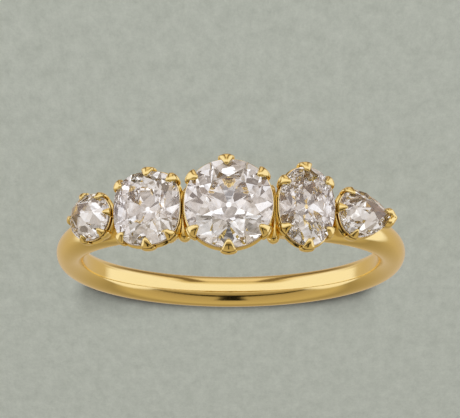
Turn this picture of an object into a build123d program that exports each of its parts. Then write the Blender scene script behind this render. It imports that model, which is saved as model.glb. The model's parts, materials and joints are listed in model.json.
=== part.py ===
from build123d import *
import os
from collections import namedtuple
from math import atan, cos, degrees, hypot, radians, sin, sqrt

# A gold ring with a row of five old cut diamonds in claw collets, in millimetres.
# It is built upright: the finger along Z, the head of stones towards -Y. At the end it is tipped
# until it rests on its side, on its widest claw and the back of its shank.
# A stone's own plane has X along the row, from the round stone to the pear, Y across the finger and
# Z out of the stone. Its angles turn from X to Y.

# Shank: an oval wire with a flat on the finger, which widens again at the shoulders
finger_radius = 8.5
shank_thickness = 1.56
shank_back_width = 1.82
shank_side_width = 1.82
shank_shoulder_width = 2.4
shank_back_flat = 0.3
shank_side_flat = 0.95
shank_shoulder_flat = 1.9
shoulder_thickness = 1.15
shoulder_angle = 150          # from the back of the shank to where it runs into the rail
shank_stations = 13

# Rail that carries the collets between the shoulders
rail_thickness = 1.1
rail_width = 2.5

# Stones, face on: along the row, then across it
centre_long = 4.83
centre_broad = 4.97
cushion_long = 3.82
cushion_broad = 4.14
oval_long = 3.18
oval_broad = 4.46
rose_across = 2.65
pear_long = 3.5
pear_broad = 2.62

# Places: the stones stand on an arc that is flatter than the finger
row_turn = -0.47              # the whole row stands a little towards the round stone
seat_rise = 2.8               # the centre stone's girdle above the finger
arc_setback = 3.4             # the arc's centre behind the finger's
cushion_drop = 0.3            # how far a stone sits below the arc
rose_drop = 0.65
pear_drop = 0.35
cushion_gap = 0.42            # between neighbouring girdles
rose_gap = 0.65
oval_gap = 0.39
pear_gap = 0.5

# Cutting of the stones, as shares of a stone's smaller width
crown_share = 0.16
table_share = 0.52
star_share = 0.55             # of the crown height, where the stars meet the mains
pavilion_share = 0.42
culet_share = 0.06
lower_share = 0.62            # of the pavilion depth, where the lower facets meet
rose_share = 0.36
rose_ring_share = 0.56        # of the outline, where the six star facets end
rose_ring_rise = 0.66         # of the dome's height
rose_flat_share = 0.16        # small flat at the top of the dome, as a share of the ring
pear_heart_share = 0.15       # the dome of the pear stands this far towards its round end
pear_point_share = 0.12       # softness of its point
girdle_height = 0.12
stone_clearance = 0.03

# Collets
rim_wall = 0.1                # rim outside the girdle
rim_height = 0.16
rim_bevel = 0.05
rim_spacing = 0.42            # from the top of the upper rim to the top of the lower one
lower_rim_wall = 0.15
collet_wall = 0.05            # collet outside the girdle, between the rims
foot_share = 0.56             # a collet narrows to this share where it meets the rail
seat_ledge = 0.3              # ledge under the girdle
light_share = 0.26            # the hole through the rail under a stone

# Claws
claw_width = 0.94             # of the shield on a claw's back
side_claw_share = 0.95        # size of the claws that aren't at the top or bottom of a stone
claw_out = 0.25               # a claw stands this far outside the girdle
claw_reach = 0.4              # and reaches this far over the crown
claw_rise = 0.4               # shoulder of a claw above the girdle
claw_tip = 0.15               # metal over the crown at the tip
claw_point = 0.12             # width of the tip
claw_run = 0.36               # share of the collet's depth down which a claw runs

# Claw round the point of the pear
point_claw_radius = 0.62
point_claw_wall = 0.28
point_claw_rise = 0.38
point_claw_reach = 0.2

# Bars that join neighbouring collets
bar_reach_share = 0.92        # half its length, as a share of the narrower stone's half breadth
bar_end_share = 0.32          # the pointed end of that
bar_half_width = 0.3
bar_depth = 1.5
bar_sink = 0.2                # below the girdles
outer_bar_sink = 0.75

outline_points = 20
facet_step = 22.5             # degrees between girdle points of a brilliant
rose_step = 30

Stone = namedtuple("Stone", "name cut long broad squareness turn drop claw claw_angles")
head_arc = finger_radius + seat_rise + arc_setback


def half_turn(long):
    """Angle that half a stone takes up on the head's arc."""
    return degrees(atan(long / 2 / head_arc))


def turn_between(one_long, other_long, gap):
    """Angle on the head's arc between two neighbouring stones."""
    return half_turn(one_long) + half_turn(other_long) + degrees(gap / head_arc)


oval_turn = row_turn + turn_between(centre_long, oval_long, oval_gap)
pear_turn = oval_turn + turn_between(oval_long, pear_long, pear_gap)
cushion_turn = row_turn - turn_between(centre_long, cushion_long, cushion_gap)
rose_turn = cushion_turn - turn_between(cushion_long, rose_across, rose_gap)

# Squareness is the exponent of the outline: 2 is an ellipse. Claw is a share of the claws' size.
stones = [
    Stone("round_rose_stone", "rose", rose_across, rose_across, 2.0, rose_turn, rose_drop, 0.64,
          (178, 110, 58, 4, -49, -106)),
    Stone("cushion_stone", "brilliant", cushion_long, cushion_broad, 2.6, cushion_turn, cushion_drop, 0.88,
          (88, 139, 46, -133, -88, -49)),
    Stone("centre_stone", "brilliant", centre_long, centre_broad, 2.15, row_turn, 0, 1.0,
          (93, 42, -38, -90, -141, 143)),
    Stone("oval_stone", "brilliant", oval_long, oval_broad, 2.1, oval_turn, 0, 0.88,
          (92, 49, -47, -89, -134, 135)),
    Stone("pear_rose_stone", "pear", pear_long, pear_broad, 2.0, pear_turn, pear_drop, 0.74,
          (130, 175, -120)),
]


def smaller_width(stone):
    return min(stone.long, stone.broad)


def outline(stone, angle, grow=0.0, share=1.0):
    """Point of a stone's outline, with the outline grown by a wall and then taken at a share."""
    half_long = (stone.long / 2 + grow) * share
    half_broad = (stone.broad / 2 + grow) * share
    c = cos(radians(angle))
    s = sin(radians(angle))
    if stone.cut == "pear":
        widest = 4 / sqrt(27)
        taper = hypot(sin(radians(angle / 2)), pear_point_share)
        return (half_long * c, half_broad * s * taper / widest)
    n = stone.squareness
    radius = (abs(c / half_long) ** n + abs(s / half_broad) ** n) ** (-1 / n)
    return (radius * c, radius * s)


def outline_face(stone, height, grow=0.0, share=1.0):
    """Flat face inside a stone's outline, at a height in the stone's own plane."""
    step = 360 / outline_points
    points = [Vector(*outline(stone, step * i, grow, share), height) for i in range(outline_points)]
    even = [i / outline_points for i in range(outline_points + 1)]
    return Face(Wire(Edge.make_spline(points, periodic=True, parameters=even)))


def stone_centre(stone):
    turn = radians(stone.turn)
    distance = head_arc - stone.drop
    return Vector(-sin(turn) * distance, arc_setback - cos(turn) * distance, 0)


def stone_plane(stone):
    """The plane of a stone's girdle, where it stands in the upright ring."""
    turn = radians(stone.turn)
    return Plane(stone_centre(stone), x_dir=(-cos(turn), sin(turn), 0), z_dir=(-sin(turn), -cos(turn), 0))


# Cut stones


def facet(*points):
    return Face(Wire.make_polygon(points))


def height_on(p, q, r, x, y):
    """Height at x, y of the plane through three points."""
    normal = (q - p).cross(r - p)
    return p.Z - (normal.X * (x - p.X) + normal.Y * (y - p.Y)) / normal.Z


def girdle_point(stone, angle, height, spare):
    return Vector(*outline(stone, angle, spare), height)


def girdle_facets(stone, step, level, spare, meeting_points):
    """Facets between the girdle and the points where they meet, two to each point.

    Each has one more corner at the middle of its girdle edge, so that the outline stays round.
    Returns the facets, and the girdle's edge as a list of points.
    """
    faces = []
    edge = []
    for i in range(round(360 / step)):
        near = girdle_point(stone, step * i, level, spare)
        far = girdle_point(stone, step * (i + 1), level, spare)
        top = meeting_points(i)
        x, y = outline(stone, step * (i + 0.5), spare)
        middle = Vector(x, y, height_on(near, far, top, x, y))
        faces.append(facet(near, middle, far, top))
        edge += [near, middle]
    return faces, edge


def band(upper_edge, lower_edge):
    """Upright girdle between two edges."""
    faces = []
    for i, top in enumerate(upper_edge):
        next_top = upper_edge[(i + 1) % len(upper_edge)]
        next_low = lower_edge[(i + 1) % len(lower_edge)]
        faces.append(facet(top, next_top, next_low, lower_edge[i]))
    return faces


def crossing(p, p_direction, q, q_direction, height):
    """Where two level lines meet."""
    along = (q - p).cross(q_direction).Z / p_direction.cross(q_direction).Z
    point = p + p_direction * along
    return Vector(point.X, point.Y, height)


def mains_corner(stone, i, level, end_level, end_share, height, spare):
    """Corner that main facets i and i + 1 make at a height, between the girdle and table or culet."""
    lines = []
    for main in (2 * i, 2 * i + 2):
        before = girdle_point(stone, facet_step * (main - 1), level, spare)
        after = girdle_point(stone, facet_step * (main + 1), level, spare)
        start = girdle_point(stone, facet_step * main, level, spare)
        end = Vector(start.X * end_share, start.Y * end_share, end_level)
        lines.append(start + (end - start) * ((height - level) / (end_level - level)))
        lines.append(after - before)
    return crossing(*lines, height)


def brilliant(stone, spare=0.0):
    """Old cut stone: table, eight stars, eight mains and sixteen girdle facets above, and below the
    girdle sixteen more, eight mains and a culet. Spare grows it all round."""
    width = smaller_width(stone)
    mains = range(8)
    crown_level = (girdle_height + spare) / 2
    table_level = crown_level + crown_share * width + spare
    star_level = crown_level + (table_level - crown_level) * star_share
    table = [Vector(*outline(stone, 2 * facet_step * i, spare, table_share), table_level) for i in mains]
    stars = [mains_corner(stone, i, crown_level, table_level, table_share, star_level, spare) for i in mains]
    faces, upper_edge = girdle_facets(stone, facet_step, crown_level, spare, lambda i: stars[i // 2])
    faces.append(facet(*table))
    for i in mains:
        girdle_corner = girdle_point(stone, 2 * facet_step * i, crown_level, spare)
        faces.append(facet(table[i], stars[i - 1], girdle_corner, stars[i]))
        faces.append(facet(table[i], stars[i], table[(i + 1) % 8]))

    low_level = -crown_level
    culet_level = low_level - pavilion_share * width - spare
    meet_level = low_level + (culet_level - low_level) * lower_share
    place = (low_level, culet_level, culet_share)
    culet = [mains_corner(stone, i, *place, culet_level, spare) for i in mains]
    meets = [mains_corner(stone, i, *place, meet_level, spare) for i in mains]
    low_faces, lower_edge = girdle_facets(stone, facet_step, low_level, spare, lambda i: meets[i // 2])
    faces += low_faces
    faces.append(facet(*culet))
    for i in mains:
        girdle_corner = girdle_point(stone, 2 * facet_step * i, low_level, spare)
        faces.append(facet(girdle_corner, meets[i], culet[i], culet[i - 1], meets[i - 1]))
    return Solid(Shell(faces + band(upper_edge, lower_edge)))


def rose(stone, spare=0.0):
    """Rose cut stone: a flat base under a dome of six star facets round a small flat, and eighteen
    facets down to the girdle. Spare grows it all round."""
    sides = range(6)
    heart = Vector(-pear_heart_share * stone.long / 2 if stone.cut == "pear" else 0, 0, 0)
    dome = rose_share * smaller_width(stone)
    crown_level = (girdle_height + spare) / 2
    ring = []
    flat = []
    for i in sides:
        rim = girdle_point(stone, 2 * rose_step * i, 0, spare)
        out = (rim - heart) * rose_ring_share
        ring.append(heart + out + Vector(0, 0, crown_level + dome * rose_ring_rise + spare))
        flat.append(heart + out * rose_flat_share + Vector(0, 0, crown_level + dome + spare))
    faces, upper_edge = girdle_facets(
        stone, rose_step, crown_level, spare, lambda i: ring[((i + 1) // 2) % 6])
    faces.append(facet(*flat))
    for i in sides:
        following = (i + 1) % 6
        between = girdle_point(stone, rose_step * (2 * i + 1), crown_level, spare)
        faces.append(facet(flat[i], ring[i], ring[following], flat[following]))
        faces.append(facet(ring[i], between, ring[following]))
    base = [Vector(p.X, p.Y, -crown_level - spare) for p in upper_edge]
    return Solid(Shell(faces + band(upper_edge, base) + [facet(*base)]))


def cut_stone(stone, spare=0.0):
    """A stone in its own plane, grown by spare."""
    return brilliant(stone, spare) if stone.cut == "brilliant" else rose(stone, spare)


# Metal of the shank and rail


def from_back(angle, back, side, shoulder):
    """A size of the shank at an angle from its back, from its sizes at back, side and shoulder."""
    level = cos(radians(angle)) ** 2
    if abs(angle) < 90:
        return side + (back - side) * level
    return side + (shoulder - side) * level / cos(radians(shoulder_angle)) ** 2


def shank_section(angle):
    """Oval whose part outside the finger has the shank's thickness, width and flat at this angle."""
    width = from_back(angle, shank_back_width, shank_side_width, shank_shoulder_width)
    flat = from_back(angle, shank_back_flat, shank_side_flat, shank_shoulder_flat)
    thickness = from_back(angle, shank_thickness, shank_thickness, shoulder_thickness)
    lift = sqrt(1 - (flat / width) ** 2)
    half_depth = thickness / (1 + lift)
    a = radians(angle)
    outward = Vector(sin(a), cos(a), 0)
    plane = Plane(outward * (finger_radius + lift * half_depth), x_dir=outward, z_dir=(cos(a), -sin(a), 0))
    return plane * Ellipse(half_depth, width / 2)


def shank():
    step = 2 * shoulder_angle / (shank_stations - 1)
    return loft([shank_section(-shoulder_angle + step * i) for i in range(shank_stations)])


def rail():
    """Flat arc round the finger under the head, from shoulder to shoulder."""
    profile = Plane.XZ * Pos(finger_radius + rail_thickness / 2, 0) * Rectangle(rail_thickness, rail_width)
    half_arc = 180 - shoulder_angle
    return Rot(0, 0, -90 - half_arc) * revolve(profile, Axis.Z, 2 * half_arc)


# Metal of the collets, in a stone's own plane


def collet_depth(stone):
    """From the girdle down to the middle of the rail's thickness."""
    return stone_centre(stone).length - finger_radius - rail_thickness / 2


def collet(stone):
    """Tapered wall with two thin rims under the girdle."""
    lower_rim_top = -rim_spacing
    sections = [
        outline_face(stone, -collet_depth(stone), share=foot_share),
        outline_face(stone, lower_rim_top - rim_height - rim_bevel, collet_wall),
        outline_face(stone, lower_rim_top - rim_height, lower_rim_wall),
        outline_face(stone, lower_rim_top, lower_rim_wall),
        outline_face(stone, lower_rim_top + rim_bevel, collet_wall),
        outline_face(stone, -rim_height - rim_bevel, collet_wall),
        outline_face(stone, -rim_height, rim_wall),
        outline_face(stone, 0, rim_wall),
    ]
    return loft(sections, ruled=True)


def barrel(stone):
    """Hollow under a stone, from the ledge at its girdle down through the rail."""
    below = collet_depth(stone) + rail_thickness
    wide = outline_face(stone, -girdle_height, -seat_ledge)
    return loft([outline_face(stone, -below, share=light_share), wide])


def crown_slope(stone):
    """Rise of a stone's crown for each millimetre inwards from its girdle."""
    if stone.cut == "brilliant":
        return crown_share * 2 / (1 - table_share)
    return rose_share * rose_ring_rise * 2 / (1 - rose_ring_share)


def claw(stone, angle):
    """Claw with a shield shaped back that runs down the collet and a point over the crown."""
    here = Vector(*outline(stone, angle), 0)
    after = Vector(*outline(stone, angle + 1), 0)
    side = (after - here).normalized()
    out = side.cross(Vector(0, 0, 1))
    size = stone.claw * (1 if abs(sin(radians(angle))) > 0.99 else side_claw_share)
    half_width = claw_width * size / 2
    stand = claw_out * size

    def at(outward, sideways, height, start=here):
        return start + out * (outward * stand) + side * (sideways * half_width) + Vector(0, 0, height)

    foot_start = here * (1 - claw_run * (1 - foot_share))
    foot_height = -collet_depth(stone) * claw_run
    foot = [at(m, s, foot_height, foot_start)
            for m, s in ((-0.6, -0.45), (-0.6, 0.45), (0.35, -0.3), (0.35, 0.3))]
    belt = [at(m, s, -rim_spacing)
            for m, s in ((-0.5, -1), (-0.5, 1), (0.7, -1), (0.7, 1), (1, -0.6), (1, 0.6))]
    rise = claw_rise * size
    shoulder = [at(m, s, rise * h)
                for m, s, h in ((-0.5, -0.6, 0.3), (-0.5, 0.6, 0.3), (1, -0.42, 0.5), (1, 0.42, 0.5),
                                (0.1, -0.25, 1), (0.1, 0.25, 1))]
    reach = out * -claw_reach * size
    point = side * (claw_point / 2)
    top = Vector(0, 0, girdle_height / 2 + crown_slope(stone) * claw_reach * size + claw_tip * size)
    tip = [here + reach + top, here + reach + point, here + reach - point]
    return ConvexPolyhedron(foot + belt) + ConvexPolyhedron(belt + shoulder + tip)


def point_claw(stone):
    """Claw folded round the point of the pear."""
    point = Vector(*outline(stone, 0), 0)
    low = -rim_spacing - rim_height
    outer = extrude(outline_face(stone, low, point_claw_wall), point_claw_rise - low)
    inner = extrude(outline_face(stone, 0, -point_claw_reach), point_claw_rise)
    near_point = Pos(point.X, point.Y, 0) * Cylinder(point_claw_radius, 4 * point_claw_rise)
    return (outer & near_point) - inner


def bar(one, other, sink):
    """Ridged bar with pointed ends that joins two neighbouring collets."""
    middle = (one.turn + half_turn(one.long) + other.turn - half_turn(other.long)) / 2
    between = one._replace(turn=middle, drop=(one.drop + other.drop) / 2)
    reach = bar_reach_share * min(one.broad, other.broad) / 2
    body = reach * (1 - bar_end_share)
    top = [Vector(0, y * body, -sink) for y in (-1, 1)]
    waist = [Vector(x * bar_half_width, y * body, -sink - bar_depth / 2) for x in (-1, 1) for y in (-1, 1)]
    ends = [Vector(0, y * reach, -sink - bar_depth / 2) for y in (-1, 1)]
    foot = [Vector(x * bar_half_width / 2, y * body / 2, -sink - bar_depth) for x in (-1, 1) for y in (-1, 1)]
    return stone_plane(between).location * ConvexPolyhedron(top + waist + ends + foot)


def setting(stone):
    """Solids that hold one stone, in its own plane."""
    solids = [collet(stone)] + [claw(stone, angle) for angle in stone.claw_angles]
    if stone.cut == "pear":
        solids.append(point_claw(stone))
    return solids


def ring_mount():
    metal = [rail()]
    hollows = [Cylinder(finger_radius, 4 * finger_radius)]
    for stone in stones:
        place = stone_plane(stone).location
        metal += [place * solid for solid in setting(stone)]
        hollows += [place * barrel(stone), place * cut_stone(stone, stone_clearance)]
    for one, other in zip(stones, stones[1:]):
        sink = bar_sink if one.cut == other.cut else outer_bar_sink
        metal.append(bar(one, other, sink))
    return shank().fuse(*metal).cut(*hollows)


# Resting place


def rest_angle(metal):
    """Angle by which the ring tips about X until its head and the back of its shank are equally low."""
    width = shank_back_width
    lift = sqrt(1 - (shank_back_flat / width) ** 2)
    half_depth = shank_thickness / (1 + lift)
    back = finger_radius + lift * half_depth
    head = [v for v in metal.vertices() if v.Y < -finger_radius]
    low = 0.0
    high = 45.0
    while high - low > 0.001:
        angle = radians((low + high) / 2)
        head_low = min(v.Z * cos(angle) - v.Y * sin(angle) for v in head)
        back_low = -back * sin(angle) - hypot(width / 2 * cos(angle), half_depth * sin(angle))
        if head_low < back_low:
            low = degrees(angle)
        else:
            high = degrees(angle)
    return low


def main():
    os.makedirs("parts", exist_ok=True)
    metal = ring_mount()
    angle = rest_angle(metal)
    pieces = {"ring_mount": metal}
    for stone in stones:
        pieces[stone.name] = stone_plane(stone).location * cut_stone(stone)
    tipped = {name: Rot(-angle, 0, 0) * solid for name, solid in pieces.items()}
    box = Compound(list(tipped.values())).bounding_box()
    on_floor = Pos(-box.center().X, -box.center().Y, -box.min.Z)
    for name, solid in tipped.items():
        export_step(on_floor * solid, f"parts/{name}.step")
    print(f"rests at {angle:.2f} degrees, moved by {on_floor.position}")


main()
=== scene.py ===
import json
from collections import namedtuple
from math import acos, atan, atan2, cos, degrees, hypot, pi, radians, sin, sqrt

import bmesh
import bpy
from mathutils import Matrix, Vector


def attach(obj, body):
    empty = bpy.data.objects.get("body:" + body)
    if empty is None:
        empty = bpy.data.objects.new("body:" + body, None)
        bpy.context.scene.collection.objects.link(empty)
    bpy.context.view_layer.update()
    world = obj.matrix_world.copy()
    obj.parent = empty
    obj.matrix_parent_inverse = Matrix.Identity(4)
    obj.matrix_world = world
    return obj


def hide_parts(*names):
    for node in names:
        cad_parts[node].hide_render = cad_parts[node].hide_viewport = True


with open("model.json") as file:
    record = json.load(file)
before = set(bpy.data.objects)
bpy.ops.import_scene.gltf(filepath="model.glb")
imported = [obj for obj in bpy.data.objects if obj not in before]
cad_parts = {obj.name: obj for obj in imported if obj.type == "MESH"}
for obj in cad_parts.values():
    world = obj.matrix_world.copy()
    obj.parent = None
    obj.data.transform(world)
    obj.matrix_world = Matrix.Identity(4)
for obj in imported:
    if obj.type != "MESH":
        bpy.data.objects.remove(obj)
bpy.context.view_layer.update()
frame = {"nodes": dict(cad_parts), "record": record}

# A gold ring with a row of five antique cut diamonds in claw collets.
# The metal is modelled in millimetres on the upright ring, with the finger along Z and the head
# towards -Y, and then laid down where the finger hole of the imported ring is. A stone's own plane has
# X along the row, from the round stone to the pear, Y across the finger and Z out of the stone.
# The paper, the lamps and the studio are in metres.
finger_hole = frame["record"]["mounts"][0]
lean = atan2(finger_hole["axis"][1], finger_hole["axis"][2])
laid = (Matrix.Translation(finger_hole["pos_m"]) @ Matrix.Rotation(-lean, 4, "X")
        @ Matrix.Scale(0.001, 4))

# Shank: an oval wire with a flat on the finger, which widens again at the shoulders
finger_radius = 8.5
shank_thickness = 1.56
shank_width = 1.82
shank_back_flat = 0.3
shank_side_flat = 0.95
shoulder_thickness = 1.15
shoulder_width = 2.4
shoulder_flat = 1.9
shoulder_angle = 150                 # from the back of the shank to where it runs into the rail
shoulder_blend = 12                  # over which it does, in degrees
wire_crease = 150                    # angle in the wire's section where its flat begins

# Rail that carries the collets between the shoulders
rail_thickness = 1.1
rail_width = 2.5
rail_squareness = 7

# Stones, face on: along the row, then across it
centre_long = 4.83
centre_broad = 4.97
cushion_long = 3.82
cushion_broad = 4.14
oval_long = 3.18
oval_broad = 4.46
rose_across = 2.65
pear_long = 3.5
pear_broad = 2.62
pear_softness = 0.12                 # of its point
rose_cuts = ("round", "pear")

# Places: the stones stand on an arc that is flatter than the finger
row_turn = -0.47
seat_rise = 2.8                      # the centre stone's girdle above the finger
arc_setback = 3.4                    # the arc's centre behind the finger's
head_arc = finger_radius + seat_rise + arc_setback  # the arc's radius
cushion_drop = 0.3                   # how far a stone sits below the arc
rose_drop = 0.65
pear_drop = 0.35
cushion_gap = 0.42                   # between neighbouring girdles
rose_gap = 0.65
oval_gap = 0.39
pear_gap = 0.5

# Collets, and the holes in the rail that let light in under the stones
foot_share = 0.56                    # a collet narrows to this share where it meets the rail
foot_wall = 0.25
light_share = 0.26                   # the hole on the finger's side, as a share of the outline
light_share_inside = 0.66            # the same on the stone's side


def half_turn(long):
    return degrees(atan(long / 2 / head_arc))


def turn_between(one_long, other_long, gap):
    return half_turn(one_long) + half_turn(other_long) + degrees(gap / head_arc)


oval_turn = row_turn + turn_between(centre_long, oval_long, oval_gap)
pear_turn = oval_turn + turn_between(oval_long, pear_long, pear_gap)
cushion_turn = row_turn - turn_between(centre_long, cushion_long, cushion_gap)
round_turn = cushion_turn - turn_between(cushion_long, rose_across, rose_gap)

# turn is round the arc's centre, drop below the arc, claw the size of the claws and claw_angles where
# they stand on the outline
Stone = namedtuple("Stone", "name long broad squareness turn drop claw claw_angles")
stones = [
    Stone("round", rose_across, rose_across, 2.0, round_turn, rose_drop, 0.64,
          (178, 110, 58, 4, -49, -106)),
    Stone("cushion", cushion_long, cushion_broad, 2.6, cushion_turn, cushion_drop, 0.88,
          (88, 139, 46, -133, -88, -49)),
    Stone("centre", centre_long, centre_broad, 2.15, row_turn, 0, 1.0, (93, 42, -38, -90, -141, 143)),
    Stone("oval", oval_long, oval_broad, 2.1, oval_turn, 0, 0.88, (92, 49, -47, -89, -134, 135)),
    Stone("pear", pear_long, pear_broad, 2.0, pear_turn, pear_drop, 0.74, (130, 175, -120)),
]


# Places on and round the stones


def superellipse(angle, half_wide, half_high, squareness):
    c = cos(radians(angle))
    s = sin(radians(angle))
    radius = (abs(c / half_wide) ** squareness + abs(s / half_high) ** squareness) ** (-1 / squareness)
    return radius * c, radius * s


def outline(stone, angle, grow=0.0, share=1.0):
    """Point of a stone's outline, with a wall added all round and then scaled to a share."""
    half_long = (stone.long / 2 + grow) * share
    half_broad = (stone.broad / 2 + grow) * share
    if stone.name == "pear":
        taper = hypot(sin(radians(angle / 2)), pear_softness)
        widest = 4 / sqrt(27)        # what sin(angle) * sin(angle / 2) comes to at most
        return half_long * cos(radians(angle)), half_broad * sin(radians(angle)) * taper / widest
    return superellipse(angle, half_long, half_broad, stone.squareness)


def girdle(stone, angle):
    """Point on the girdle, and the directions along it and out of it."""
    here = Vector((*outline(stone, angle), 0))
    after = Vector((*outline(stone, angle + 1), 0))
    along = (after - here).normalized()
    return here, along, along.cross(Vector((0, 0, 1)))


def stone_centre(stone):
    turn = radians(stone.turn)
    distance = head_arc - stone.drop
    return Vector((-sin(turn) * distance, arc_setback - cos(turn) * distance, 0))


def plane_of(stone):
    """Matrix of a stone's own plane."""
    turn = radians(stone.turn)
    x = Vector((-cos(turn), sin(turn), 0))
    z = Vector((-sin(turn), -cos(turn), 0))
    return Matrix.Translation(stone_centre(stone)) @ Matrix((x, z.cross(x), z)).transposed().to_4x4()


def collet_depth(stone):
    return stone_centre(stone).length - finger_radius - rail_thickness / 2


def mix(a, b, share):
    return a + (b - a) * share


# Mesh helpers
sharp_turn = 40                      # degrees, from where an edge stays sharp
sharp_turn_rounded = 70              # the same on pieces that are rounded by subdivision


def add_object(name, data, collection=None):
    made = bpy.data.objects.new(name, data)
    (collection or bpy.context.scene.collection).objects.link(made)
    return made


def mesh_object(name, bm, collection=None):
    mesh = bpy.data.meshes.new(name)
    bm.to_mesh(mesh)
    return add_object(name, mesh, collection)


def piece(name, bm, materials, place=Matrix(), rounded=False):
    """Turns a mesh modelled in millimetres into a finished gold piece of the laid down ring."""
    bmesh.ops.remove_doubles(bm, verts=bm.verts, dist=0.0005)
    bmesh.ops.recalc_face_normals(bm, faces=bm.faces)
    bm.transform(laid @ place)
    made = mesh_object(name, bm)
    bm.free()
    for face in made.data.polygons:
        face.use_smooth = True
    made.data.set_sharp_from_angle(angle=radians(sharp_turn_rounded if rounded else sharp_turn))
    for metal in materials:
        made.data.materials.append(metal)
    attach(made, "root")
    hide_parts("ring_mount")
    if rounded:
        smooth = made.modifiers.new("rounded", "SUBSURF")
        smooth.levels = smooth.render_levels = 2


def skin(bm, stations, corners, place, closed=False, painted_shade_rings=()):
    """Tube through rings: each ring is extruded from the one before, and place(station, corner) says
    where its corners go. A closed tube joins its last ring to its first, another gets two ends.
    The last argument numbers the rings that lie in a crease, which get painted shade."""
    painted_crease_shade = bm.verts.layers.float.get("painted_crease_shade") or bm.verts.layers.float.new("painted_crease_shade")
    ring = bmesh.ops.create_circle(bm, segments=corners, radius=1)["verts"]
    loops = []
    for number, station in enumerate(stations):
        if number > 0:
            made = bmesh.ops.extrude_edge_only(bm, edges=loops[-1])["geom"]
            corner_of = {vert: corner for corner, vert in enumerate(ring)}
            ring = [None] * corners
            for vert in [g for g in made if isinstance(g, bmesh.types.BMVert)]:
                for edge in vert.link_edges:
                    corner = corner_of.get(edge.other_vert(vert))
                    if corner is not None:
                        ring[corner] = vert
        for corner, vert in enumerate(ring):
            vert.co = place(station, corner)
            vert[painted_crease_shade] = float(number in painted_shade_rings)
        loops.append([bm.edges.get((ring[k - 1], ring[k])) for k in range(corners)])
    if closed:
        bmesh.ops.bridge_loops(bm, edges=loops[0] + loops[-1])
    else:
        bmesh.ops.edgeloop_fill(bm, edges=loops[0])
        bmesh.ops.edgeloop_fill(bm, edges=loops[-1])


def cut_away(bm, plugs):
    """Cuts the plugs out of a mesh and returns what is left."""
    solids = []
    for solid in (bm, plugs):
        solids.append(mesh_object("cutting", solid))
        solid.free()
    cut = solids[0].modifiers.new("cut", "BOOLEAN")
    cut.operation = "DIFFERENCE"
    cut.object = solids[1]
    left = bmesh.new()
    left.from_object(solids[0], bpy.context.evaluated_depsgraph_get())
    for solid in solids:
        bpy.data.objects.remove(solid)
    return left


# Colours and nodes


def linear(hex_colour):
    """sRGB hex to linear RGBA."""
    channels = [int(hex_colour[i:i + 2], 16) / 255 for i in (0, 2, 4)]
    return [c / 12.92 if c <= 0.04045 else ((c + 0.055) / 1.055) ** 2.4 for c in channels] + [1.0]


def node(tree, kind, settings=(), links=()):
    """Adds a node, sets its attributes and inputs, and links other nodes' outputs to its inputs."""
    made = tree.nodes.new(kind)
    for key, value in dict(settings).items():
        if isinstance(key, int) or key in made.inputs:
            made.inputs[key].default_value = value
        else:
            setattr(made, key, value)
    for key, output in dict(links).items():
        tree.links.new(output, made.inputs[key])
    return made


def ramp(tree, factor, stops):
    """Colour through stops of position and colour."""
    made = node(tree, "ShaderNodeValToRGB", links={"Fac": factor})
    elements = made.color_ramp.elements
    while len(elements) < len(stops):
        elements.new(0.5)
    for element, (position, colour) in zip(elements, stops):
        element.position = position
        element.color = linear(colour)
    return made.outputs["Color"]


def noise(tree, place, scale, detail):
    made = node(tree, "ShaderNodeTexNoise", {"Scale": scale, "Detail": detail}, {"Vector": place})
    return made.outputs["Fac"]


def ranged(tree, value, start, end, low=0.0, high=1.0):
    """Value from start to end, stretched from low to high."""
    made = node(tree, "ShaderNodeMapRange",
                {"From Min": start, "From Max": end, "To Min": low, "To Max": high}, {"Value": value})
    return made.outputs["Result"]


def calculate(tree, operation, *values):
    """Math over values, each a number or another node's output."""
    numbers = {place: value for place, value in enumerate(values) if isinstance(value, float)}
    outputs = {place: value for place, value in enumerate(values) if not isinstance(value, float)}
    return node(tree, "ShaderNodeMath", {"operation": operation, **numbers}, outputs).outputs["Value"]


# Materials


def material(name):
    """Empty material: itself, its node tree and the object coordinates for its patterns."""
    made = bpy.data.materials.new(name)
    made.use_nodes = True
    tree = made.node_tree
    tree.nodes.clear()
    return made, tree, node(tree, "ShaderNodeTexCoord").outputs["Object"]


def surface(tree, settings, links):
    """Principled shader and the material's output."""
    shader = node(tree, "ShaderNodeBsdfPrincipled", settings, links)
    node(tree, "ShaderNodeOutputMaterial", links={"Surface": shader.outputs["BSDF"]})


def polished_yellow_gold():
    """18 carat yellow gold, cast and hand polished: the eye meets a clear mirror whose reflections
    waver a little, with soft patches and fine scratches where it is worn, and painted shade in creases."""
    made, tree, place = material("polished_yellow_gold")
    worn = ranged(tree, noise(tree, place, 350, 3), 0.35, 0.7, 0.09, 0.19)
    waver = node(tree, "ShaderNodeBump", {"Strength": 0.5, "Distance": 0.00003},
                 {"Height": noise(tree, place, 600, 1)})
    # scratches a tenth of a millimetre wide, coarser than real ones so that they show
    stretched = node(tree, "ShaderNodeMapping", {"Scale": (1, 1, 6)}, {"Vector": place})
    hairs = noise(tree, stretched.outputs["Vector"], 4000, 2)
    scratches = node(tree, "ShaderNodeBump", {"Strength": 0.25, "Distance": 0.000004},
                     {"Height": hairs, "Normal": waver.outputs["Normal"]})
    # painted shade: rings that lie in creases are darkened from the gold towards dark brown
    painted_crease_shade = node(tree, "ShaderNodeAttribute", {"attribute_name": "painted_crease_shade"}).outputs["Fac"]
    tone = ramp(tree, painted_crease_shade, [(0.3, "F2DA88"), (0.9, "5A3A12")])
    surface(tree, {"Metallic": 1.0},
            {"Base Color": tone, "Roughness": worn, "Normal": scratches.outputs["Normal"]})
    return made


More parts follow.
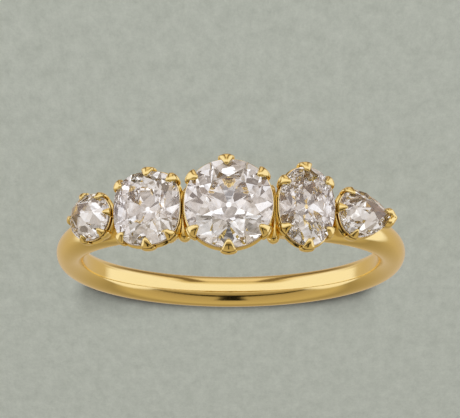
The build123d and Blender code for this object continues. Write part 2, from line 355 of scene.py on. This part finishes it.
def bloomed_pale_gold():
    """The same gold inside the collets, bloomed in acid and never polished: pale, matt and a little
    grainy, so that it brightens the stones from below."""
    made, tree, place = material("bloomed_pale_gold")
    bloom = noise(tree, place, 1200, 3)
    surface(tree, {"Metallic": 1.0},
            {"Base Color": ramp(tree, bloom, [(0.35, "F6E8C8"), (0.65, "FFF6E0")]),
             "Roughness": ranged(tree, bloom, 0.35, 0.65, 0.4, 0.6)})
    return made


def antique_cut_diamond():
    """Diamond, cut and polished by hand long ago: clear and bright with a faint warm tint. Its facets
    aren't quite flat, so that each breaks the light a little unevenly, and are worn dull in places."""
    made, tree, place = material("antique_cut_diamond")
    veils = noise(tree, place, 900, 3)
    uneven = node(tree, "ShaderNodeBump", {"Strength": 0.5, "Distance": 0.00001},
                  {"Height": noise(tree, place, 1500, 1)})
    surface(tree,
            {"Metallic": 0.0, "IOR": 2.417, "Transmission Weight": 1.0, "Specular Tint": linear("C4B6A2")},
            {"Base Color": ramp(tree, veils, [(0.35, "F6EFE7"), (0.65, "FFFDFB")]),
             "Roughness": ranged(tree, veils, 0.45, 0.75, 0.0, 0.05), "Normal": uneven.outputs["Normal"]})
    return made


def matt_grey_green_paper():
    """Thick uncoated paper: the eye meets a flat grey green with a faint mottle of fibres."""
    made, tree, place = material("matt_grey_green_paper")
    # the mottle is longer towards the camera, so that it looks even at the flat angle of the view
    grain = node(tree, "ShaderNodeMapping", {"Scale": (1, 0.35, 1)}, {"Vector": place})
    fibres = node(tree, "ShaderNodeTexNoise", {"Scale": 1200, "Detail": 8, "Roughness": 0.9},
                  {"Vector": grain.outputs["Vector"]})
    tones = ramp(tree, fibres.outputs["Fac"], [(0.3, "BEC4B8"), (0.7, "E0E5D9")])
    surface(tree, {"Roughness": 0.9}, {"Base Color": tones})
    return made


gold = polished_yellow_gold()
pale_gold = bloomed_pale_gold()
diamond = antique_cut_diamond()

# Stones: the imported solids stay, with a better material
for stone_node in ("round_rose_stone", "cushion_stone", "centre_stone", "oval_stone", "pear_rose_stone"):
    solid = frame["nodes"][stone_node]
    solid.data.materials.clear()
    solid.data.materials.append(diamond)


# Shank and rail in one sweep round the finger
sweep_radius = 20                    # while the section is still a circle, wide of the axis
sweep_steps = 240
section_corners = 48


def shank_point(angle, phi):
    """Radius and height of the surface, at an angle from the shank's back and an angle in its section."""
    level = cos(radians(angle)) ** 2
    if angle < 90:
        width = shank_width
        flat = mix(shank_side_flat, shank_back_flat, level)
        thickness = shank_thickness
    else:
        share = min(level / cos(radians(shoulder_angle)) ** 2, 1)
        width = mix(shank_width, shoulder_width, share)
        flat = mix(shank_side_flat, shoulder_flat, share)
        thickness = mix(shank_thickness, shoulder_thickness, share)
    lift = sqrt(1 - (flat / width) ** 2)
    depth = thickness / (1 + lift)
    size = abs(phi)
    side = 1 if phi >= 0 else -1
    if size < wire_crease:
        t = size / wire_crease * acos(-lift)
        wire = Vector((finger_radius + lift * depth + depth * cos(t), side * width / 2 * sin(t)))
    else:
        wire = Vector((finger_radius, side * flat / 2 * (180 - size) / (180 - wire_crease)))
    across, up = superellipse(phi, rail_thickness / 2, rail_width / 2, rail_squareness)
    strip = Vector((finger_radius + rail_thickness / 2 + across, up))
    share = min(max((angle - shoulder_angle + shoulder_blend / 2) / shoulder_blend, 0), 1)
    return wire.lerp(strip, share * share * (3 - 2 * share))


def ring_of_outline(stone, corners):
    """Place function for skin: rings of a height, a wall outside the outline and a share of it."""
    def place(station, corner):
        height, grow, share = station
        return Vector((*outline(stone, corner * 360 / corners, grow, share), height))
    return place


def light_holes():
    """Tapered plugs where the holes under the stones pass through the rail."""
    bm = bmesh.new()
    corners = 40
    for stone in stones:
        depth = collet_depth(stone)
        start = len(bm.verts)
        stations = [(-depth - rail_thickness, 0, light_share),
                    (-depth + rail_thickness, 0, light_share_inside)]
        skin(bm, stations, corners, ring_of_outline(stone, corners))
        bm.verts.ensure_lookup_table()
        bmesh.ops.transform(bm, matrix=plane_of(stone), verts=bm.verts[start:])
    bmesh.ops.recalc_face_normals(bm, faces=bm.faces)
    return bm


def shank():
    """Makes the shank with its rail, and returns a copy of its mesh without the holes."""
    bm = bmesh.new()
    turned = Matrix.Translation((0, sweep_radius, 0)) @ Matrix.Rotation(pi / 2, 4, "Y")
    bmesh.ops.create_circle(bm, segments=section_corners, radius=1, matrix=turned)
    bmesh.ops.spin(bm, geom=bm.verts[:] + bm.edges[:], cent=(0, 0, 0), axis=(0, 0, 1), angle=2 * pi,
                   steps=sweep_steps, use_merge=True)
    for vert in bm.verts:
        angle = degrees(atan2(vert.co.x, vert.co.y))
        phi = degrees(atan2(vert.co.z, hypot(vert.co.x, vert.co.y) - sweep_radius))
        radius, height = shank_point(abs(angle), phi)
        vert.co = Vector((radius * sin(radians(angle)), radius * cos(radians(angle)), height))
    bmesh.ops.recalc_face_normals(bm, faces=bm.faces)
    whole = bm.copy()
    piece("shank_and_rail", cut_away(bm, light_holes()), [gold])
    return whole


shank_back = shank()

# Collets: a tapered wall with two rims, open down to the rail
collet_profile = [  # height, wall outside the girdle
    (-0.12, -0.06), (-0.09, -0.02), (-0.09, 0.02), (-0.11, 0.045), (-0.15, 0.05), (-0.19, 0.035),
    (-0.22, -0.01), (-0.36, -0.02), (-0.40, 0.02), (-0.43, 0.085), (-0.49, 0.115), (-0.55, 0.10),
    (-0.60, 0.05), (-0.66, 0.0),
]
collet_inside = [(-1.3, -0.3, 0.8), (-0.5, -0.12, 1.0)]  # height, wall outside the girdle, share


def collet(stone):
    bm = bmesh.new()
    depth = collet_depth(stone)
    corners = 72
    stations = [(height, grow, 1.0) for height, grow in collet_profile]
    stations += [(-depth, 0.0, foot_share), (-depth, -foot_wall, foot_share)] + collet_inside
    # rings 6 and 7 lie in the groove between the rims and get painted shade
    skin(bm, stations, corners, ring_of_outline(stone, corners), closed=True, painted_shade_rings=(6, 7))
    bmesh.ops.recalc_face_normals(bm, faces=bm.faces)
    for face in bm.faces:
        middle = face.calc_center_median()
        outward = face.normal.dot(Vector((middle.x, middle.y, 0)).normalized())
        # the inside and the bearing under the girdle are pale
        if outward < -0.3 or (middle.z > -0.15 and outward < 0.5):
            face.material_index = 1
    piece(f"{stone.name}_collet", bm, [gold, pale_gold], plane_of(stone))


# Claws: a shield on the collet and, above a crease, a plump beak with a ridge that reaches over the crown
claw_path = [  # outward, up (over the stone: above its crown), half width, half depth, ridge, turn
    (-0.16, -1.20, 0.10, 0.05, 1.0, 80),
    (0.00, -0.85, 0.30, 0.12, 1.0, 80),
    (0.12, -0.55, 0.46, 0.18, 1.0, 86),
    (0.17, -0.28, 0.50, 0.21, 1.0, 92),
    (0.16, -0.08, 0.48, 0.22, 1.0, 98),
    (0.08, -0.02, 0.38, 0.13, 1.0, 102),
    (0.14, 0.06, 0.43, 0.19, 1.0, 108),
    (0.09, 0.14, 0.40, 0.20, 1.1, 130),
    (-0.03, 0.23, 0.31, 0.17, 1.15, 144),
    (-0.19, 0.24, 0.22, 0.14, 1.1, 148),
    (-0.31, 0.20, 0.14, 0.12, 1.0, 158),
    (-0.38, 0.14, 0.05, 0.06, 1.0, 180),
]
claw_bend = 0.6                      # below the girdle, from where down a claw follows the collet
corner_claw_share = 0.95             # of the claws at the row's edges
rose_crown_slope = 1.08
old_crown_slope = 0.67
soft_corners = 12                    # of the sections of claws and bars


def claws(stone):
    bm = bmesh.new()
    crown_slope = rose_crown_slope if stone.name in rose_cuts else old_crown_slope
    for angle in stone.claw_angles:
        at_edge = abs(sin(radians(angle))) > 0.99
        size = stone.claw * (1 if at_edge else corner_claw_share)
        here, along, out = girdle(stone, angle)
        taper = here * (1 - foot_share) / collet_depth(stone)

        def place(station, corner):
            outward, up, half_width, half_depth, ridge, turn = station
            t = 2 * pi * corner / soft_corners
            normal = out * sin(radians(turn)) - Vector((0, 0, 1)) * cos(radians(turn))
            if corner == 0:
                half_depth *= ridge
            start = here + taper * min(up + claw_bend, 0)
            rise = (up + crown_slope * max(-outward, 0)) * size if up > 0 else up
            return (start + out * outward * size + Vector((0, 0, rise))
                    + along * sin(t) * half_width * size + normal * cos(t) * half_depth * size)

        # ring 5 lies in the crease between shield and beak and gets painted shade
        skin(bm, claw_path, soft_corners, place, painted_shade_rings=(5,))
    piece(f"{stone.name}_claws", bm, [gold], plane_of(stone), rounded=True)


# Folded claw round the point of the pear: its section lies across the outline, plump at both ends
fold_section = [  # outside the girdle, up
    (0.17, -0.50), (0.24, -0.20), (0.26, 0.04), (0.19, 0.10), (0.22, 0.18), (0.12, 0.36), (-0.02, 0.44),
    (-0.18, 0.40), (-0.25, 0.30), (-0.14, 0.20), (0.02, 0.08), (0.0, -0.20), (0.0, -0.50),
]
fold_stations = [  # angle on the outline, plumpness
    (-45, 0.25), (-42, 0.85), (-36, 1.15), (-28, 1.1), (-16, 0.85), (0, 1.1), (16, 0.85), (28, 1.1),
    (36, 1.15), (42, 0.85), (45, 0.25),
]
fold_level = -0.05                   # towards which its ends close


def point_claw(stone):
    bm = bmesh.new()

    def place(station, corner):
        angle, plump = station
        outside, up = fold_section[corner]
        here, along, out = girdle(stone, angle)
        rise = mix(fold_level, up, min(plump + 0.1, 1.1))
        return here + out * outside * plump + Vector((0, 0, rise))

    skin(bm, fold_stations, len(fold_section), place)
    piece(f"{stone.name}_point_claw", bm, [gold], plane_of(stone), rounded=True)


# Bars between neighbouring collets: a slender pillar along the gap, with a broad foot on the far side
bar_stations = [  # across the finger as a share, top, bottom, half width
    (-1, -0.40, -0.75, 0.10), (-0.94, -0.22, -0.95, 0.30), (-0.82, -0.12, -1.2, 0.40),
    (-0.66, -0.06, -1.4, 0.32), (-0.46, 0.0, -1.5, 0.18), (0, 0.05, -1.5, 0.12), (0.3, 0.0, -1.5, 0.13),
    (0.46, -0.12, -1.4, 0.14), (0.57, -0.40, -1.3, 0.13), (0.64, -0.70, -1.1, 0.1),
    (0.68, -0.85, -0.95, 0.03),
]
bar_share = 0.92                     # of the smaller neighbour's width
bar_sink = 0.2                       # below the girdles
bar_sink_by_rose = 0.75


def bar(one, other):
    bm = bmesh.new()
    reach = bar_share * min(one.broad, other.broad) / 2
    sink = bar_sink_by_rose if {one.name, other.name} & set(rose_cuts) else bar_sink

    def place(station, corner):
        across, top, bottom, half_width = station
        t = 2 * pi * corner / soft_corners
        height = mix(bottom, top, 0.5 + 0.5 * cos(t)) - sink
        return Vector((half_width * sin(t), across * reach, height))

    skin(bm, bar_stations, soft_corners, place)
    middle = (one.turn + half_turn(one.long) + other.turn - half_turn(other.long)) / 2
    between = one._replace(turn=middle, drop=(one.drop + other.drop) / 2)
    piece(f"bar_{one.name}_{other.name}", bm, [gold], plane_of(between), rounded=True)


for stone in stones:
    collet(stone)
    claws(stone)
point_claw(stones[-1])
for one, other in zip(stones, stones[1:]):
    bar(one, other)

# Paper that the ring lies on, 3 m wide
floor_bm = bmesh.new()
bmesh.ops.create_grid(floor_bm, x_segments=1, y_segments=1, size=1.5)
floor = mesh_object("floor", floor_bm)
floor_bm.free()
floor.data.materials.append(matt_grey_green_paper())
floor.visible_glossy = floor.visible_transmission = False

# The paper has its own light, low and from the camera's side. The upper lamp is shaded by the back of
# the shank, for a thin dark edge under it. The lower lamp is shaded by a flatter copy of it that rises
# to both sides, for the soft shadow of a ring that touches the paper only in the middle. Nothing else
# shades them, so the paper in the ring and before the stones stays clear
lamp_distance = 4
shade_start = 4.5                    # millimetres behind the finger's centre
bmesh.ops.bisect_plane(shank_back, geom=shank_back.verts[:] + shank_back.edges[:] + shank_back.faces[:],
                       plane_co=(0, shade_start, 0), plane_no=(0, -1, 0), clear_outer=True)
shank_back.transform(laid)


def shaded_softbox(name, elevation, aside, size, power, height_share, rise):
    """Area lamp for the paper, shaded by a copy of the shank's back with a share of its height and a
    rise to both sides."""
    light = bpy.data.lights.new(f"{name}_softbox", "AREA")
    light.shape = "RECTANGLE"
    light.size, light.size_y = size
    light.energy = power
    lamp = add_object(f"{name}_softbox", light)
    lamp.location = lamp_distance * Vector((
        -sin(radians(aside)), -cos(radians(elevation)), sin(radians(elevation))))
    lamp.rotation_euler = (-lamp.location).to_track_quat("-Z", "Y").to_euler()
    lamp.visible_glossy = lamp.visible_transmission = False
    blockers = bpy.data.collections.new(f"{name}_shades")
    bpy.context.scene.collection.children.link(blockers)
    shade = mesh_object(f"{name}_shade", shank_back, blockers)
    for vert in shade.data.vertices:
        vert.co.z = vert.co.z * height_share + rise * vert.co.x ** 2
    shade.visible_camera = shade.visible_diffuse = False
    shade.visible_glossy = shade.visible_transmission = False
    lamp.light_linking.blocker_collection = blockers


shaded_softbox("upper", elevation=17, aside=0, size=(0.53, 0.3), power=201, height_share=1.0, rise=0)
shaded_softbox("lower", elevation=14.5, aside=3, size=(0.53, 0.53), power=147, height_share=0.8, rise=14)
shank_back.free()

# Studio round the ring, over the angle from behind the ring (0) over its top (90) to the camera (180)
# and back underneath: warm grey panels with a dark seam over the camera, white card below it and at
# both ends of the row and, near the ring's middle, a dark gap for the seam and two dark stands
# before the card, which the claws show as dark streaks
world = bpy.data.worlds.new("studio")
bpy.context.scene.world = world
world.use_nodes = True
tree = world.node_tree
direction = node(tree, "ShaderNodeTexCoord").outputs["Generated"]
part = node(tree, "ShaderNodeSeparateXYZ", links={"Vector": direction})
share = ranged(tree, calculate(tree, "ARCTAN2", part.outputs["Z"], part.outputs["Y"]), -pi, pi)
aside = calculate(tree, "ABSOLUTE", part.outputs["X"])

white_card = "E0E0FF"
stand = "6A5A48"
card_below = [(-180, white_card), (-70, white_card), (-40, "B3A598")]
card_by_stands = [
    (-180, white_card), (-146, white_card), (-136, "D4CCD0"), (-120, "B4A494"), (-104, "DCD0D4"),
    (-88, "C8BABC"), (-70, "988878"), (-50, "988878"), (-40, "B3A598")]
over_ring = [(0, "AD9F8E"), (45, "8C8070"), (65, "AFA18E"), (98, "A59786")]
seam = [(130, "998B7A"), (134, "1C1812"), (139, "1C1812")]
gap = [(104, "0C0A08"), (141, "0C0A08")]
over_camera = [(146, "958776"), (156, "998B7C"), (176, "D4CCD4"), (180, white_card)]


def round_ring(stops):
    """Colour over the angle round the ring, through stops of degrees and colour."""
    return ramp(tree, share, [((angle + 180) / 360, colour) for angle, colour in stops])


def blend(factor, one, other):
    """Mix of two colours: sockets 6 and 7 of the node are its colours, and its output 2."""
    return node(tree, "ShaderNodeMix", {"data_type": "RGBA"}, {0: factor, 6: one, 7: other}).outputs[2]


def with_dark_disc(colour, elevation, outer, inner, left):
    """Dims a colour of the studio in a disc on the camera's side, its middle at an elevation and its
    edge between two angles from there, to the share that is left."""
    towards = (0, -cos(radians(elevation)), sin(radians(elevation)))
    facing = node(tree, "ShaderNodeVectorMath", {"operation": "DOT_PRODUCT", 1: towards}, {0: direction})
    dimmed = ranged(tree, facing.outputs["Value"], cos(radians(outer)), cos(radians(inner)), 1.0, left)
    return node(tree, "ShaderNodeVectorMath", {"operation": "SCALE"},
                {0: colour, "Scale": dimmed}).outputs["Vector"]


panels = round_ring(card_by_stands + over_ring + seam + over_camera)
to_side = ramp(tree, aside, [(0.22, "000000"), (0.28, "FFFFFF"), (0.4, "FFFFFF"), (0.46, "000000")])
low = round_ring([(-130, "000000"), (-120, "FFFFFF"), (-58, "FFFFFF"), (-48, "000000")])
panels = blend(calculate(tree, "MULTIPLY", to_side, low), panels, round_ring([(-180, stand), (180, stand)]))
for near, far, colours in (
        (0.16, 0.10, card_by_stands + over_ring + gap + over_camera),
        (0.5, 0.6, card_below + over_ring + seam + over_camera),
        (0.85, 0.90, [(-180, white_card), (180, white_card)])):
    panels = blend(ranged(tree, aside, near, far), panels, round_ring(colours))

# What shows through the stones: clouds, brighter behind the ring and to its sides, and the dark camera
brighter = noise(tree, direction, 3.2, 1)
for start, end, gain, way in ((0.0, 0.7, 0.22, part.outputs["Y"]), (0.4, 1.0, 0.09, aside)):
    brighter = calculate(tree, "ADD", brighter, ranged(tree, way, start, end, 0.0, gain))
through = ramp(tree, brighter, [
    (0.34, "5C5650"), (0.44, "8E8880"), (0.5, "A8A29C"), (0.56, "BAB6B2"), (0.66, "D8D8DA"),
    (0.72, "FFFFFF")])
ray = node(tree, "ShaderNodeLightPath")
seen = blend(ray.outputs["Is Transmission Ray"], panels,
             with_dark_disc(through, elevation=20, outer=12, inner=8, left=0.2))

# The paper takes less light from the studio than the ring, because it has its own
studio_strength = 1.45
strength_on_paper = 0.1
bounced = calculate(tree, "MINIMUM", ray.outputs["Diffuse Depth"], 1.0)
strength = calculate(tree, "MULTIPLY_ADD", bounced, strength_on_paper - studio_strength, studio_strength)
tree.links.new(seen, tree.nodes["Background"].inputs["Color"])
tree.links.new(strength, tree.nodes["Background"].inputs["Strength"])
bpy.context.scene.view_settings.view_transform = "Standard"

# Light goes to and fro in a cut stone many times before it comes out
bounces = bpy.context.scene.cycles
bounces.max_bounces = bounces.glossy_bounces = bounces.transmission_bounces = 32

# Camera: opposite the head, above the floor, rolled so that the head is at the top of the picture
view_angle = radians(15.0)           # above the ring's own plane
view_distance = 200.0
pixels_per_mm = 17.308               # at the ring's centre
picture_width = 460                  # in pixels
look_right = -0.05                   # from the ring's centre to the middle of the picture
look_up = 2.602


def camera():
    data = bpy.data.cameras.new("camera")
    made = add_object("camera", data)
    towards = Vector((0, cos(view_angle), -sin(view_angle)))
    up = Vector((0, -sin(view_angle), -cos(view_angle)))
    right = towards.cross(up)
    place = Matrix((right, up, -towards)).transposed().to_4x4()
    place.translation = right * look_right + up * look_up - towards * view_distance
    made.matrix_world = laid @ place
    made.scale = (1, 1, 1)
    data.sensor_width = 36
    data.lens = pixels_per_mm * view_distance * data.sensor_width / picture_width
    data.clip_start = 0.01
    data.clip_end = 10
    return made


bpy.context.scene.camera = camera()
